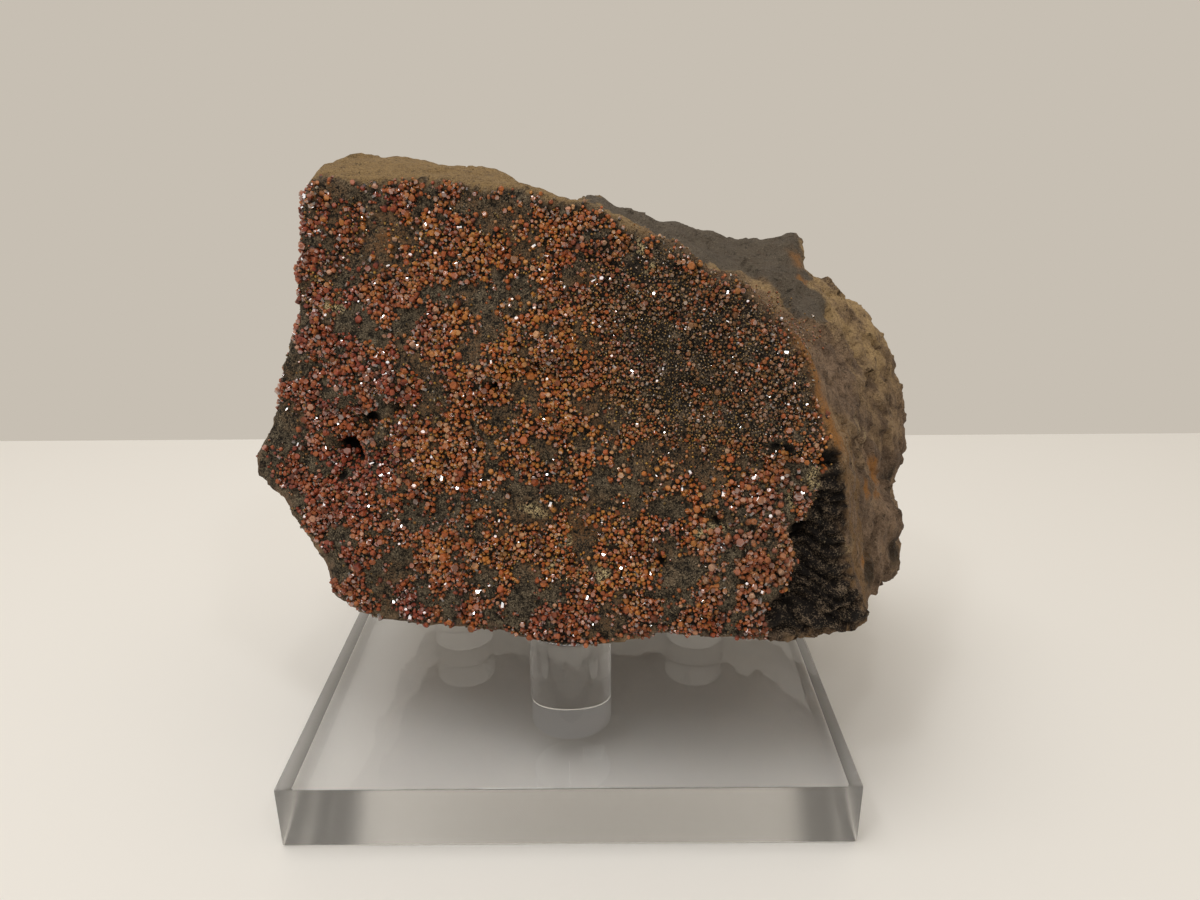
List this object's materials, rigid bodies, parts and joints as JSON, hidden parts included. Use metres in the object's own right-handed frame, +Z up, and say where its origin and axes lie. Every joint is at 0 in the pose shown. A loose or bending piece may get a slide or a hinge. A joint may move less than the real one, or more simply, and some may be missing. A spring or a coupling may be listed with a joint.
{
  "type": "vanadinite in matrix",
  "caption": "Mineral specimen: a lump of dark matrix with one face crusted in red-brown hexagonal crystals, resting on a clear stand with round posts.",
  "frame": {"origin": "centre of the underside of the stand's base", "axes": "+Z up, crystal face towards -Y, +X to the right as seen from the front"},
  "size_m": [0.129, 0.1, 0.1121],
  "materials": {
    "matrix_rock": "rough broken rock, dark grey-brown with ochre stains",
    "vanadinite": "resinous red-brown to orange-brown crystal faces",
    "clear_acrylic": "clear, polished"
  },
  "bodies": {
    "root": {"vanadinite_matrix": "matrix_rock", "stand_base": "clear_acrylic", "front_post": "clear_acrylic", "rear_post_left": "clear_acrylic", "rear_post_right": "clear_acrylic"}
  },
  "joints": []
}
